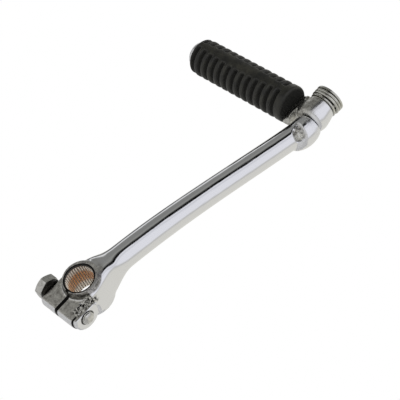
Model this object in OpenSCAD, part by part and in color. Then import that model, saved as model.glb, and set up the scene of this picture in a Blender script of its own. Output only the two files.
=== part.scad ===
// Kick start lever with a folding pedal.
// The shaft bore lies along Y with its centre at the origin, the arm rises along +Z,
// +Y faces the engine and the folded pedal lies along +X.

/* [Clamp boss] */
// Bore diameter over the serration crests
bore_d = 17.2; // [15:0.1:20]
// Number of serrations round the bore
serrations = 36; // [24:1:44]
// Depth of each serration
serration_depth = 0.55; // [0.3:0.05:0.7]
// Distance from the origin to the engine-side face of the boss
boss_inner = 10; // [9:0.5:12]
// Distance from the origin to the outer face of the boss
boss_outer = 12; // [9:0.5:14]
// Diameter of the raised collar on the engine side
collar_d = 23.6; // [22.4:0.2:25]
// Growth of the boss diameter towards the outer side, from the forging draft
boss_draft = 5.4; // [2:0.2:6]
// Height of the boss centre above the bore centre
boss_rise = 1; // [0:0.1:1.2]
// Length of the raised collar along the shaft
collar_len = 5; // [4:0.5:6]

/* [Clamp lugs] */
// Width of the pair of lugs across the slit
lug_w = 27.5; // [25:0.5:32]
// Radius of the rounded lug ends
lug_r = 9.6; // [8:0.1:10]
// Distance from the bore centre to the clamp bolt
bolt_drop = 13.5; // [13.5:0.1:16]
// Distance from the clamp bolt to the flat of the lugs
bolt_depth = 4.6; // [4.6:0.1:6]
// Width of the clamp slit
slit_w = 2.2; // [1.5:0.1:4]
// Length of the round nose on the threaded lug
nose_len = 3; // [1:0.5:5]
// Diameter of the round nose on the threaded lug
nose_d = 17.4; // [14:0.2:18]

/* [Clamp bolt] */
// Thread diameter of the clamp bolt
bolt_d = 8; // [6:1:8]
// Width across the flats of the hexagon head
bolt_head_af = 14; // [12:0.5:15]
// Height of the hexagon head
bolt_head_h = 5.6; // [4:0.1:7]
// Length of thread that stands out of the far lug
bolt_tip = 2.4; // [1:0.2:5]
// Thickness of the split lock washer
lock_washer_t = 2.6; // [1.5:0.1:3]

/* [Arm] */
// Height of the pedal joint face above the shaft
arm_h = 188.5; // [160:0.5:230]
// Sideways reach of the arm towards the outer side
arm_reach = 53.7; // [30:0.5:70]
// Sideways lean of the arm where it leaves the boss, as rise over run
root_lean = 0.133; // [0:0.001:0.2]
// Sideways lean of the arm below the pedal joint, as rise over run
tip_lean = 0.31; // [0.1:0.01:0.35]
// Distance beyond the pivot that the arm's centre line aims at, at the height of the joint face
arm_overshoot = 3.9; // [0:0.1:4.5]
// Arm diameter above the root
arm_low_d = 16.6; // [15:0.1:19]
// Arm diameter near the pedal joint
arm_top_d = 16; // [14:0.1:18]
// Height above the shaft where the root has narrowed into the arm
root_h = 27; // [22:1:36]

/* [Pedal joint] */
// Diameter of the knuckle at the joint face
joint_d = 20.4; // [19:0.2:24]
// Greatest diameter of the swelling below the joint
swell_d = 19.8; // [19.4:0.2:22]
// Diameter of the arm's head at the joint face
head_top_d = 17.4; // [17:0.2:19]
// Offset of the arm's head from the pivot, away from the pedal
head_back = 2.6; // [2:0.1:2.8]
// Offset of the arm's head from the pivot, towards the outer side
head_out = 0.8; // [0:0.1:1]
// Diameter of the pivot pin
pin_d = 10; // [9:0.5:11]
// Length of the pivot pin inside the arm
pin_seat = 18; // [12:1:22]
// Radial clearance of the knuckle on the pivot pin
pin_fit = 0.05; // [0.02:0.01:0.1]
// Axial clearance on each side of the knuckle
face_gap = 0.2; // [0.1:0.05:0.4]
// Height of the knuckle along the pin
knuckle_h = 15.2; // [14:0.1:20]
// Swing of the pedal from folded to ready
swing = 90; // [60:5:110]
// Diameter of the stop pin in the joint face
stop_pin_d = 2.5; // [2:0.1:2.8]
// Height of the stop pin above the joint face
stop_pin_h = 2; // [1.5:0.1:3]
// Clearance round the stop pin in its groove
stop_fit = 0.15; // [0.1:0.05:0.3]

/* [Joint spring] */
// Outer diameter of the lower washer
washer_d = 20; // [19:0.2:23]
// Outer diameter of the upper washer
top_washer_d = 21.2; // [20:0.2:23]
// Thickness of the lower washer
low_washer_t = 1.2; // [0.8:0.1:2]
// Thickness of the upper washer
top_washer_t = 1.5; // [1:0.1:2.5]
// Outer diameter of the coil spring
spring_d = 21.2; // [19:0.2:23]
// Wire diameter of the coil spring
spring_wire = 2.2; // [1.6:0.1:2.4]
// Height of the coil spring as fitted
spring_h = 5.5; // [5.2:0.1:7]
// Turns of the coil spring
spring_turns = 1.6; // [1.2:0.05:1.65]
// Thickness of the retaining ring
ring_t = 1; // [0.8:0.1:1.4]
// Depth of the retaining ring groove
ring_groove = 0.45; // [0.3:0.05:0.7]
// Radial width of the retaining ring
ring_w = 2.1; // [1.5:0.1:2.6]
// Length of the pivot pin above the retaining ring
pin_tip = 1.4; // [0.8:0.1:3]

/* [Pedal bar] */
// Height of the pedal bar's centre line above the joint face
bar_rise = 5.3; // [5:0.1:8]
// Diameter of the bar under the rubber
bar_d = 12; // [10:0.5:14]
// Distance from the pivot to the near end of the rubber
rubber_start = 17.5; // [16:0.5:24]
// Thickness of the flat neck that carries the bar
neck_t = 8.4; // [7:0.1:9]
// Offset of the neck from the bar's centre line, towards the outer side
neck_offset = 5.3; // [4:0.1:5.5]
// Reach of the neck below the bar's centre line
neck_drop = 11.6; // [8:0.2:12]
// Height of the neck above the knuckle
neck_rise = 2.5; // [0:0.1:4]
// Clearance between the neck and the swelling of the arm, in every pedal position
neck_gap = 1; // [0.8:0.1:2]
// Diameter of the head on the free end of the bar
head_d = 18; // [15:0.5:21]
// Thickness of the head on the free end of the bar
head_t = 5; // [3:0.5:7]

/* [Rubber] */
// Outer diameter of the rubber sleeve
rubber_d = 26.5; // [22:0.5:32]
// Length of the rubber sleeve
rubber_len = 87; // [70:0.5:110]
// Number of grooves along the rubber
grooves = 13; // [8:1:16]
// Distance from one groove to the next
groove_pitch = 6.25; // [5:0.05:6.5]
// Width of a groove at the surface
groove_w = 3; // [2:0.1:4]
// Depth of a groove
groove_depth = 1.5; // [0.8:0.1:2]
// Distance from the near end of the rubber to the first groove
groove_start = 8.5; // [6:0.5:12]
// Angle of the first plain band, up from the engine side
band_angle = 8; // [0:1:20]
// Half width of each plain band at its ends, in degrees
band_end = 10; // [4:1:14]
// Half width of each plain band at its middle, in degrees
band_mid = 21; // [15:1:30]

/* [Hidden] */
$fn = 96;

// Clamp boss and lugs
bore_r = bore_d / 2;
boss_len = boss_inner + boss_outer;
boss_mid_y = (boss_inner - boss_outer) / 2;
lug_face_y = boss_inner - collar_len;
bolt_y = lug_face_y - bolt_depth;
lug_low_z = -bolt_drop - lug_r;
bore_chamfer = 0.8;
edge_chamfer = 0.8;
lug_edge = 1.2;
thread_side_x = -lug_w / 2;
head_side_x = lug_w / 2;
bolt_hole_gap = 0.2;
bolt_end_x = thread_side_x - nose_len - bolt_tip;
bolt_head_x = head_side_x + lock_washer_t;
cut = 60;

// Arm centre line: a curve that leaves the boss with one lean and meets the joint with another
function centre_y(z) =
    let (t = z / arm_h, root = -root_lean * arm_h, tip = -tip_lean * arm_h)
    mix(boss_mid_y, -arm_reach - arm_overshoot, t * t * (3 - 2 * t))
    + root * t * (1 - t) * (1 - t)
    + tip * t * t * (t - 1);
function ease(z, low, high) =
    let (t = max(0, min(1, (z - low) / (high - low))))
    t * t * (3 - 2 * t);
function mix(a, b, t) = a + (b - a) * t;

// Arm section: squarish at the root, more so on the side of the nose, and round further up
root_low_z = -4;
root_nose_w = 15;
root_head_w = 13;
root_inset = 0.15;
root_half_t = boss_len / 2 - root_inset;
arm_end_z = arm_h - 9;
root_nose_square = 6;
root_head_square = 3;
function bar_r(z) = mix(arm_low_d, arm_top_d, ease(z, root_h, arm_h * 0.6)) / 2;
function half_w(z, nose) = mix(nose ? root_nose_w : root_head_w, bar_r(z), ease(z, root_low_z, root_h));
function half_t(z, engine) =
    let (plain = mix(root_half_t, bar_r(z), ease(z, root_h * 0.4, root_h * 1.15)))
    engine
        ? mix(boss_inner - root_inset - centre_y(z), plain, ease(z, root_h * 0.3, root_h * 0.87))
        : plain;
function power(z, nose) = mix(nose ? root_nose_square : root_head_square, 2, ease(z, 0, root_h * 1.1));
function bulge(c, n) = sign(c) * pow(abs(c), 2 / n);
function arm_point(z, a) =
    let (nose = cos(a) < 0)
    [
        half_w(z, nose) * bulge(cos(a), power(z, nose)),
        centre_y(z) + half_t(z, sin(a) > 0) * bulge(sin(a), power(z, nose)),
        z
    ];
arm_sides = 48;
root_rings = 13;
bar_rings = 22;
arm_levels = concat(
    [for (i = [0 : root_rings - 1]) mix(root_low_z, root_h * 1.2, i / root_rings)],
    [for (i = [0 : bar_rings]) mix(root_h * 1.2, arm_end_z, i / bar_rings)]
);

// Pedal joint stack, from the joint face upwards
joint_r = joint_d / 2;
knuckle_low_z = arm_h + face_gap;
knuckle_top_z = knuckle_low_z + knuckle_h;
low_washer_z = knuckle_top_z + face_gap;
spring_z = low_washer_z + low_washer_t;
top_washer_z = spring_z + spring_h;
ring_z = top_washer_z + top_washer_t;
pin_top_z = ring_z + ring_t + pin_tip;
washer_gap = 0.15;
stop_radius = (joint_d + pin_d) / 4;
stop_angle = 220;
stop_seat = 6;
stop_end_play = 0.4;
joint_edge = 0.7;
knuckle_swell = 1.1;
bar_z = arm_h + bar_rise;
neck_root = 1.5;
bar_lap = 0.1;
bar_end_x = rubber_start + rubber_len;

// Pocket that the forging has below the joint face, on the engine side
pocket_top = 8.4;
pocket_h = 8.6;
pocket_depth = 2.2;
pocket_from = 92;
pocket_to = 164;

// Sweeps rings of points into one closed solid
module loft(rings) {
    sides = len(rings[0]);
    last = len(rings) - 1;
    points = [for (ring = rings) for (p = ring) p];
    walls = [for (j = [0 : last - 1]) for (i = [0 : sides - 1])
        let (a = j * sides + i, b = j * sides + (i + 1) % sides)
        [a, a + sides, b + sides, b]];
    low_cap = [for (i = [0 : sides - 1]) i];
    high_cap = [for (i = [sides - 1 : -1 : 0]) last * sides + i];
    polyhedron(points, concat([low_cap], walls, [high_cap]), convexity = 6);
}

// Cylinder along X, from x0 to x1
module bar_x(x0, x1, r) {
    translate([x0, 0, 0]) rotate([0, 90, 0]) cylinder(r = r, h = x1 - x0);
}

// Disc along Y with chamfered rims, centred on the origin
module boss_disc(d_outer, d_engine, h, chamfer) {
    rotate([90, 0, 0])
        rotate_extrude()
            polygon([
                [0, -h / 2], [d_engine / 2 - chamfer, -h / 2], [d_engine / 2, -h / 2 + chamfer],
                [d_outer / 2, h / 2 - chamfer], [d_outer / 2 - chamfer, h / 2], [0, h / 2]
            ]);
}

// Serrated hole with a lead-in at both ends
module shaft_bore() {
    translate([0, boss_mid_y, 0]) rotate([90, 0, 0]) {
        cylinder(r = bore_r, h = boss_len + 2, center = true);
        for (i = [0 : serrations - 1])
            rotate([0, 0, (i + 0.5) * 360 / serrations])
                linear_extrude(boss_len + 2, center = true)
                    polygon([
                        [bore_r - 0.3, -serration_depth * 0.95],
                        [bore_r + serration_depth, 0],
                        [bore_r - 0.3, serration_depth * 0.95]
                    ]);
        for (side = [-1, 1])
            translate([0, 0, side * boss_len / 2])
                cylinder(
                    r1 = bore_r + (side < 0 ? bore_chamfer : 0) + (side < 0 ? 0.01 : -0.2),
                    r2 = bore_r + (side > 0 ? bore_chamfer : 0) + (side > 0 ? 0.01 : -0.2),
                    h = 2 * bore_chamfer, center = true
                );
    }
}

// The two lugs in one piece, rounded about the bolt and flat on the engine side
module lug_block() {
    difference() {
        union() {
            translate([0, bolt_y, -bolt_drop]) {
                bar_x(thread_side_x, head_side_x, lug_r);
                bar_x(thread_side_x - nose_len, thread_side_x + 1, nose_d / 2);
            }
            translate([thread_side_x, bolt_y - lug_r, -bolt_drop])
                cube([lug_w, 2 * lug_r, bolt_drop]);
        }
        translate([-cut / 2, lug_face_y, -cut / 2]) cube([cut, cut, cut]);
        for (side = [-1, 1])
            translate([side * lug_w / 2, 0, lug_low_z])
                rotate([0, 45, 0])
                    cube([lug_edge, cut, lug_edge], center = true);
    }
}

module arm_sweep() {
    loft([for (z = arm_levels) [for (i = [0 : arm_sides - 1]) arm_point(z, i * 360 / arm_sides)]]);
}

// Round head of the arm under the pedal joint
module joint_head() {
    r = head_top_d / 2;
    translate([-head_back, -arm_reach - head_out, arm_h])
        rotate_extrude()
            polygon([
                [0, 0], [r - joint_edge, 0], [r, -joint_edge], [r + 0.3, -2],
                [swell_d / 2 - 0.3, -4], [swell_d / 2 - 0.1, -6.2], [swell_d / 2, -8.6],
                [swell_d / 2 - 0.3, -11.4], [swell_d / 2 - 1.1, -14.4], [swell_d / 2 - 2.3, -17.2],
                [swell_d / 2 - 4, -19.8], [swell_d / 2 - 6.8, -22], [0, -23]
            ]);
}

module forging_pocket() {
    translate([-head_back, -arm_reach - head_out, arm_h - pocket_top - pocket_h])
        rotate([0, 0, pocket_from])
            rotate_extrude(angle = pocket_to - pocket_from)
                polygon([
                    [swell_d / 2 - pocket_depth, pocket_h * 0.18],
                    [swell_d / 2 + 4, 0],
                    [swell_d / 2 + 4, pocket_h],
                    [swell_d / 2 - pocket_depth, pocket_h * 0.92]
                ]);
}

module lever_arm() {
    color("silver")
        difference() {
            union() {
                translate([0, boss_mid_y, boss_rise])
                    boss_disc(collar_d + boss_draft, collar_d, boss_len, edge_chamfer);
                lug_block();
                arm_sweep();
                joint_head();
            }
            shaft_bore();
            translate([-slit_w / 2, -cut / 2, -cut]) cube([slit_w, cut, cut]);
            translate([0, bolt_y, -bolt_drop]) {
                bar_x(-cut, 0, bolt_d / 2);
                bar_x(0, cut, bolt_d / 2 + bolt_hole_gap);
            }
            translate([0, -arm_reach, arm_h - pin_seat])
                cylinder(r = pin_d / 2, h = pin_seat + 1);
            translate(stop_place()) translate([0, 0, -stop_seat])
                cylinder(r = stop_pin_d / 2, h = stop_seat + 1);
            forging_pocket();
        }
}

function stop_place() = [
    stop_radius * cos(stop_angle),
    -arm_reach + stop_radius * sin(stop_angle),
    arm_h
];

module pinch_bolt() {
    color("gainsboro")
        translate([0, bolt_y, -bolt_drop]) {
            difference() {
                bar_x(bolt_end_x, bolt_head_x + 1, bolt_d / 2);
                translate([bolt_end_x, 0, 0]) rotate([0, 90, 0])
                    difference() {
                        translate([0, 0, -1]) cylinder(r = bolt_d, h = 2);
                        cylinder(r1 = bolt_d / 2 - 1, r2 = bolt_d / 2 + 1, h = 2);
                    }
            }
            translate([bolt_head_x, 0, 0]) rotate([0, 90, 0])
                intersection() {
                    cylinder(d = bolt_head_af / cos(30), h = bolt_head_h, $fn = 6);
                    rotate_extrude()
                        polygon([
                            [0, 0], [bolt_head_af * 0.56, 0], [bolt_head_af * 0.62, 0.5],
                            [bolt_head_af * 0.62, bolt_head_h - 1.1],
                            [bolt_head_af * 0.47, bolt_head_h], [0, bolt_head_h]
                        ]);
                }
        }
}

module lock_washer() {
    inner = bolt_d / 2 + 0.15;
    outer = bolt_head_af * 0.5 + 0.1;
    color("darkgray")
        translate([head_side_x, bolt_y, -bolt_drop])
            rotate([0, 90, 0])
                difference() {
                    cylinder(r = outer, h = lock_washer_t);
                    translate([0, 0, -1]) cylinder(r = inner, h = lock_washer_t + 2);
                    rotate([0, 0, 35]) translate([0, -0.4, -1]) cube([outer + 1, 0.8, lock_washer_t + 2]);
                }
}

module pivot_pin() {
    r = pin_d / 2;
    low = arm_h - pin_seat;
    color("gray")
        translate([0, -arm_reach, 0])
            rotate_extrude()
                polygon([
                    [0, low], [r - 0.5, low], [r, low + 0.5],
                    [r, ring_z], [r - ring_groove, ring_z],
                    [r - ring_groove, ring_z + ring_t], [r, ring_z + ring_t],
                    [r, pin_top_z - 0.7], [r - 0.7, pin_top_z], [0, pin_top_z]
                ]);
}

module stop_pin() {
    color("dimgray")
        translate(stop_place()) translate([0, 0, -stop_seat])
            cylinder(r = stop_pin_d / 2, h = stop_seat + stop_pin_h);
}

// Groove in the underside of the knuckle that the stop pin runs in
module stop_groove() {
    half = stop_pin_d / 2 + stop_fit;
    end = asin(half / stop_radius) + stop_end_play;
    rotate([0, 0, stop_angle - end])
        rotate_extrude(angle = swing + 2 * end)
            translate([stop_radius - half, -1]) square([2 * half, stop_pin_h + stop_fit + 1]);
}

module knuckle_barrel() {
    r = joint_r;
    rotate_extrude()
        polygon([
            [0, 0], [r - joint_edge, 0], [r, joint_edge], [r + 0.6, knuckle_h * 0.14],
            [r + knuckle_swell, knuckle_h * 0.3], [r + knuckle_swell - 0.1, knuckle_h * 0.46],
            [r + 0.5, knuckle_h * 0.64], [r - 0.1, knuckle_h * 0.8], [r - 0.5, knuckle_h - 1],
            [r - 0.9, knuckle_h - 0.35], [r - 1.5, knuckle_h], [0, knuckle_h]
        ]);
}

// Flat neck with rounded top and bottom, as seen along the bar
module neck_web(x0, x1, low, high) {
    r = neck_t / 2;
    translate([0, -neck_offset, 0]) {
        for (z = [low + r, high - r]) translate([0, 0, z]) bar_x(x0, x1, r);
        translate([x0, -r, low + r]) cube([x1 - x0, neck_t, high - low - neck_t]);
    }
}

module neck(rise) {
    clear_x = swell_d / 2 + head_out + neck_gap;
    low = rise - neck_drop;
    high = knuckle_h + neck_rise;
    neck_web(clear_x, rubber_start, low, high);
    intersection() {
        neck_web(neck_root, clear_x + 1, low, high);
        translate([0, -cut / 2, 0.5]) cube([cut, cut, knuckle_h - 2.1]);
    }
}

// Bar under the rubber and the upset head that keeps the rubber on
module pedal_bar() {
    rotate([0, 90, 0])
        rotate_extrude()
            polygon([
                [0, rubber_start - bar_lap],
                [bar_d / 2, rubber_start - bar_lap],
                [bar_d / 2, bar_end_x],
                [head_d / 2 - 0.8, bar_end_x],
                [head_d / 2, bar_end_x + 0.8],
                [head_d / 2, bar_end_x + head_t * 0.5],
                [head_d / 2 - 0.7, bar_end_x + head_t * 0.78],
                [head_d / 2 - 2.2, bar_end_x + head_t],
                [0, bar_end_x + head_t]
            ]);
}

module pedal_lever() {
    rise = bar_z - knuckle_low_z;
    color("silver")
        translate([0, -arm_reach, knuckle_low_z])
            difference() {
                union() {
                    knuckle_barrel();
                    neck(rise);
                    translate([0, 0, rise]) pedal_bar();
                }
                translate([0, 0, -1]) cylinder(r = pin_d / 2 + pin_fit, h = knuckle_h + 2);
                stop_groove();
            }
}

module flat_washer(z, t, outer) {
    translate([0, -arm_reach, z])
        difference() {
            cylinder(r = outer, h = t);
            translate([0, 0, -1]) cylinder(r = pin_d / 2 + washer_gap, h = t + 2);
        }
}

module lower_washer() {
    color("lightgray") flat_washer(low_washer_z, low_washer_t, washer_d / 2);
}

module upper_washer() {
    color("lightgray") flat_washer(top_washer_z, top_washer_t, top_washer_d / 2);
}

// Coil spring with ends ground flat where it meets the washers
module joint_spring() {
    wire = spring_wire / 2;
    radius = spring_d / 2 - wire;
    grind = 0.35;
    low = wire - grind;
    high = spring_h - wire + grind;
    steps = 54;
    color("lightgray")
        translate([0, -arm_reach, spring_z])
            intersection() {
                loft([for (i = [0 : steps])
                    let (turn = 360 * spring_turns * i / steps + 200, z = mix(low, high, i / steps))
                    [for (k = [0 : 9])
                        let (r = radius + wire * cos(k * 36))
                        [r * cos(turn), r * sin(turn), z + wire * sin(k * 36)]]]);
                cylinder(r = spring_d, h = spring_h);
            }
}

module retaining_ring() {
    inner = pin_d / 2 - ring_groove;
    outer = pin_d / 2 - ring_groove + ring_w;
    gap = 3.4;
    color("dimgray")
        translate([0, -arm_reach, ring_z])
            difference() {
                cylinder(r = outer, h = ring_t);
                translate([0, 0, -1]) cylinder(r = inner, h = ring_t + 2);
                translate([0, -gap / 2, -1]) cube([outer + 1, gap, ring_t + 2]);
            }
}

function band_half(i) = band_end + (band_mid - band_end) * sin(180 * i / (grooves - 1));

// Sleeve along Z from its near end, with the engine side towards +Y
module pedal_rubber() {
    r = rubber_d / 2;
    round_end = 2.2;
    color("black")
        translate([rubber_start, -arm_reach, bar_z]) rotate([90, 0, 90])
            difference() {
                rotate_extrude()
                    polygon([
                        [bar_d / 2, 0], [r - round_end, 0], [r - round_end * 0.3, round_end * 0.3],
                        [r, round_end], [r, rubber_len - round_end],
                        [r - round_end * 0.3, rubber_len - round_end * 0.3],
                        [r - round_end, rubber_len], [bar_d / 2, rubber_len]
                    ]);
                for (i = [0 : grooves - 1]) for (side = [0, 180])
                    translate([0, 0, groove_start + i * groove_pitch])
                        rotate([0, 0, band_angle + side + band_half(i)])
                            rotate_extrude(angle = 180 - 2 * band_half(i))
                                polygon([
                                    [r - groove_depth, -groove_w * 0.22],
                                    [r + 1, -groove_w * 0.72], [r + 1, groove_w * 0.72],
                                    [r - groove_depth, groove_w * 0.22]
                                ]);
            }
}

lever_arm();
pinch_bolt();
lock_washer();
pivot_pin();
stop_pin();
pedal_lever();
lower_washer();
joint_spring();
upper_washer();
retaining_ring();
pedal_rubber();
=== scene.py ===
import bpy
import bmesh
from math import sin, cos, asin, pi, radians, degrees, atan2, hypot, sqrt
from mathutils import Vector, Matrix, noise


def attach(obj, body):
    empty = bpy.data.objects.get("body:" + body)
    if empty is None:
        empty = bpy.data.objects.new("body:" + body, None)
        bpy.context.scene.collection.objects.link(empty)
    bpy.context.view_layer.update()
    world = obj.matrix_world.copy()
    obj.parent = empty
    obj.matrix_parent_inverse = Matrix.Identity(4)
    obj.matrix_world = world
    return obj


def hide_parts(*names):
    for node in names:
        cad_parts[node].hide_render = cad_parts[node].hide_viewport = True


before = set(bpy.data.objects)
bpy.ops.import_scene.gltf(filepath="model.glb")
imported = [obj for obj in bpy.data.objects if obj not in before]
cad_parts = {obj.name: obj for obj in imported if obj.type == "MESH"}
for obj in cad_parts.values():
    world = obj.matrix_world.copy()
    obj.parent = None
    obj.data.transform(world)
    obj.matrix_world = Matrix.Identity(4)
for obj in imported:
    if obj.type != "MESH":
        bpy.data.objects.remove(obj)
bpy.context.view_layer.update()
scene = bpy.context.scene
mm = 0.001
print("frame loaded:", len(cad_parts), "nodes")

# the camera stands where the photograph was taken, looking up along the engine side (mm)
view = {
    "place": (-431.6, 589.3, -119.7),
    "right": (-0.7035, -0.267, 0.6588),
    "up": (0.446, 0.5555, 0.7018),
    "lens": 113.1,
    "film": 36,
    "clip": (0.05, 20),
}
cameraData = bpy.data.cameras.new("photoCamera")
cameraData.lens = view["lens"]
cameraData.sensor_width = view["film"]
cameraData.clip_start, cameraData.clip_end = view["clip"]
camera = bpy.data.objects.new("photoCamera", cameraData)
scene.collection.objects.link(camera)
scene.camera = camera
right = Vector(view["right"]).normalized()
back = right.cross(Vector(view["up"])).normalized()
turnMatrix = Matrix((right, back.cross(right), back)).transposed()
camera.matrix_world = Matrix.Translation(Vector(view["place"]) * mm) @ turnMatrix.to_4x4()
scene.view_settings.view_transform = "Standard"


# small helpers for numbers and places
def mix(a, b, t):
    return a + (b - a) * t


def ease(value, low, high):
    t = max(0.0, min(1.0, (value - low) / (high - low)))
    return t * t * (3 - 2 * t)


def bulge(value, power):
    # a circle's sine or cosine, pushed out towards a square as the power rises above 2
    return (1 if value >= 0 else -1) * abs(value) ** (2 / power)


def bumpy(co, layers):
    # layers of noise: how many per mm, and how high
    return sum(noise.noise(co * often) * high for often, high in layers)


# small helpers for meshes, all in millimetres until a piece is finished
def newObject(name, bm):
    mesh = bpy.data.meshes.new(name)
    bm.to_mesh(mesh)
    bm.free()
    piece = bpy.data.objects.new(name, mesh)
    scene.collection.objects.link(piece)
    return piece


def addPart(bm, part):
    mesh = bpy.data.meshes.new("part")
    part.to_mesh(mesh)
    part.free()
    bm.from_mesh(mesh)
    bpy.data.meshes.remove(mesh)


def addTurned(bm, profile, centre, axis, steps=96):
    # profile is (distance along the axis, radius), turned all the way round
    part = bmesh.new()
    axis = Vector(axis).normalized()
    out = axis.orthogonal().normalized()
    centre = Vector(centre)
    verts = [part.verts.new(centre + axis * along + out * radius) for along, radius in profile]
    closed = profile[0][1] > 0
    pairs = list(zip(verts, verts[1:])) + ([(verts[-1], verts[0])] if closed else [])
    edges = [part.edges.new(pair) for pair in pairs]
    bmesh.ops.spin(part, geom=verts + edges, cent=centre, axis=axis, angle=2 * pi, steps=steps, use_merge=True)
    bmesh.ops.remove_doubles(part, verts=part.verts, dist=1e-4)
    bmesh.ops.recalc_face_normals(part, faces=part.faces)
    addPart(bm, part)


def addTube(bm, rings, sides, place):
    # a capped tube whose points are put by place(level 0..1, angle)
    part = bmesh.new()
    bmesh.ops.create_cone(part, cap_ends=True, segments=sides, radius1=1, radius2=1, depth=1)
    upright = [edge for edge in part.edges if abs(edge.verts[0].co.z - edge.verts[1].co.z) > 0.5]
    if rings > 2:
        bmesh.ops.subdivide_edges(part, edges=upright, cuts=rings - 2, use_grid_fill=True)
    for vert in part.verts:
        vert.co = place(vert.co.z + 0.5, atan2(vert.co.y, vert.co.x))
    bmesh.ops.recalc_face_normals(part, faces=part.faces)
    addPart(bm, part)


def addRing(bm, low, high, hole, outer, corner, centre, axis):
    # a flat ring; corner is (in from the face, in from the rim) over each outer corner
    profile = [(low, hole)] + [(low + along, outer - inward) for along, inward in corner]
    profile += [(high - along, outer - inward) for along, inward in reversed(corner)] + [(high, hole)]
    addTurned(bm, profile, centre, axis)


def addBlock(bm, size, centre):
    made = bmesh.ops.create_cube(bm, size=1)["verts"]
    bmesh.ops.scale(bm, vec=size, verts=made)
    bmesh.ops.translate(bm, vec=centre, verts=made)


def bake(piece):
    # live modifiers become the mesh
    graph = bpy.context.evaluated_depsgraph_get()
    mesh = bpy.data.meshes.new_from_object(piece.evaluated_get(graph))
    old = piece.data
    piece.modifiers.clear()
    piece.data = mesh
    bpy.data.meshes.remove(old)
    return piece


def forge(piece, voxel, rounds):
    # overlapping shells become one skin with soft corners, as a forging has
    remesh = piece.modifiers.new("oneSkin", "REMESH")
    remesh.mode = "VOXEL"
    remesh.voxel_size = voxel
    soften = piece.modifiers.new("soften", "SMOOTH")
    soften.factor = 0.5
    soften.iterations = rounds
    return bake(piece)


def machine(piece, bm, operation="DIFFERENCE"):
    # a crisp cut, as a machine tool leaves it
    bmesh.ops.recalc_face_normals(bm, faces=bm.faces)
    tool = newObject("tool", bm)
    cut = piece.modifiers.new("cut", "BOOLEAN")
    cut.operation = operation
    cut.solver = "EXACT"
    cut.object = tool
    bake(piece)
    bpy.data.objects.remove(tool)


def turnAway(piece, profiles, centre, axis):
    # machines turned shapes out of a piece in one cut
    bm = bmesh.new()
    for profile in profiles:
        addTurned(bm, profile, centre, axis)
    machine(piece, bm)


def finishPiece(piece, material, body, node, sharp=35):
    piece.data.transform(Matrix.Scale(mm, 4))
    piece.data.materials.clear()
    piece.data.materials.append(material)
    piece.data.shade_smooth()
    piece.data.set_sharp_from_angle(angle=radians(sharp))
    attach(piece, body)
    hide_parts(node)
    print(piece.name, len(piece.data.polygons), "faces")


# small helpers for materials
def toLinear(hexColour):
    parts = [int(hexColour[i:i + 2], 16) / 255 for i in (1, 3, 5)]
    return tuple(p / 12.92 if p <= 0.04045 else ((p + 0.055) / 1.055) ** 2.4 for p in parts) + (1,)


def newMaterial(name):
    material = bpy.data.materials.new(name)
    material.use_nodes = True
    material.node_tree.nodes.clear()
    return material, material.node_tree


def addNode(tree, kind, inputs=(), output=0, stops=(), **options):
    # inputs go in by place or by name: a number, a hex colour or another node's socket
    # stops are the (position, hex colour or grey level) pairs of a colour ramp
    node = tree.nodes.new("ShaderNode" + kind)
    for key, value in options.items():
        setattr(node, key, value)
    for key, value in inputs.items() if isinstance(inputs, dict) else enumerate(inputs):
        if isinstance(value, bpy.types.NodeSocket):
            tree.links.new(value, node.inputs[key])
        else:
            node.inputs[key].default_value = toLinear(value) if isinstance(value, str) else value
    for index, (position, colour) in enumerate(stops):
        ramp = node.color_ramp.elements
        element = ramp[index] if index < 2 else ramp.new(position)
        element.position = position
        element.color = toLinear(colour) if isinstance(colour, str) else (colour, colour, colour, 1)
    return node.outputs[output] if node.outputs else None


# chrome-plated steel: drop-forged, ground and polished, then plated. Mirror-bright with a slight
# orange peel; the machined clamp faces stay dull, and the bore keeps a film of brown oil
chrome = {
    "plate": "#e2e3e5", "dull": "#e6e5de", "dullDark": "#96938d", "raw": "#d6d6d0", "rawDark": "#97958f",
    # on the next line, collar is painted darker as painted shade and dark reflection, crest is a painted highlight
    # and root is painted shade
    "collar": "#8b888a", "crestHighlight": "#fff9ee", "root": "#857a6e", "oil": "#efb67e", "black": "#1b1a19",
    "polish": (0.07, 0.15), "dullPolish": (0.5, 0.3), "oiledMetal": 0.15, "waveStretch": (1, 1, 0.16),
}
# patterns on the lever: size in mm, detail and roughness
patterns = {
    "grain": (0.45, 4, 0.6),  # milling and grit marks, drawn coarser than real ones so that they show
    "blotch": (2.381, 5, 0.65),  # patches where the dull faces have stained
    "crumbs": (1.613, 3, 0.65),  # bits of broken forging scale
    "cloud": (8.333, 3, 0.5),  # hazy and clean chrome
    "peel": (3.5, 2, 0.5),  # orange peel of the plating
    "wave": (11, 2, 0.5),  # hand polishing, drawn out along the arm
}
# distances, mm: where they are counted from, and the directions that count
distances = {
    "shaftRadius": ((0, 0, 0), (1, 0, 1)),
    "boltRadius": ((0, 0.4, -13.5), (0, 1, 1)),
    "slitSide": ((0, 0, 0), (1, 0, 0)),
    "seamSide": ((-14, 0, 0), (1, 0, 0)),
}
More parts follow.
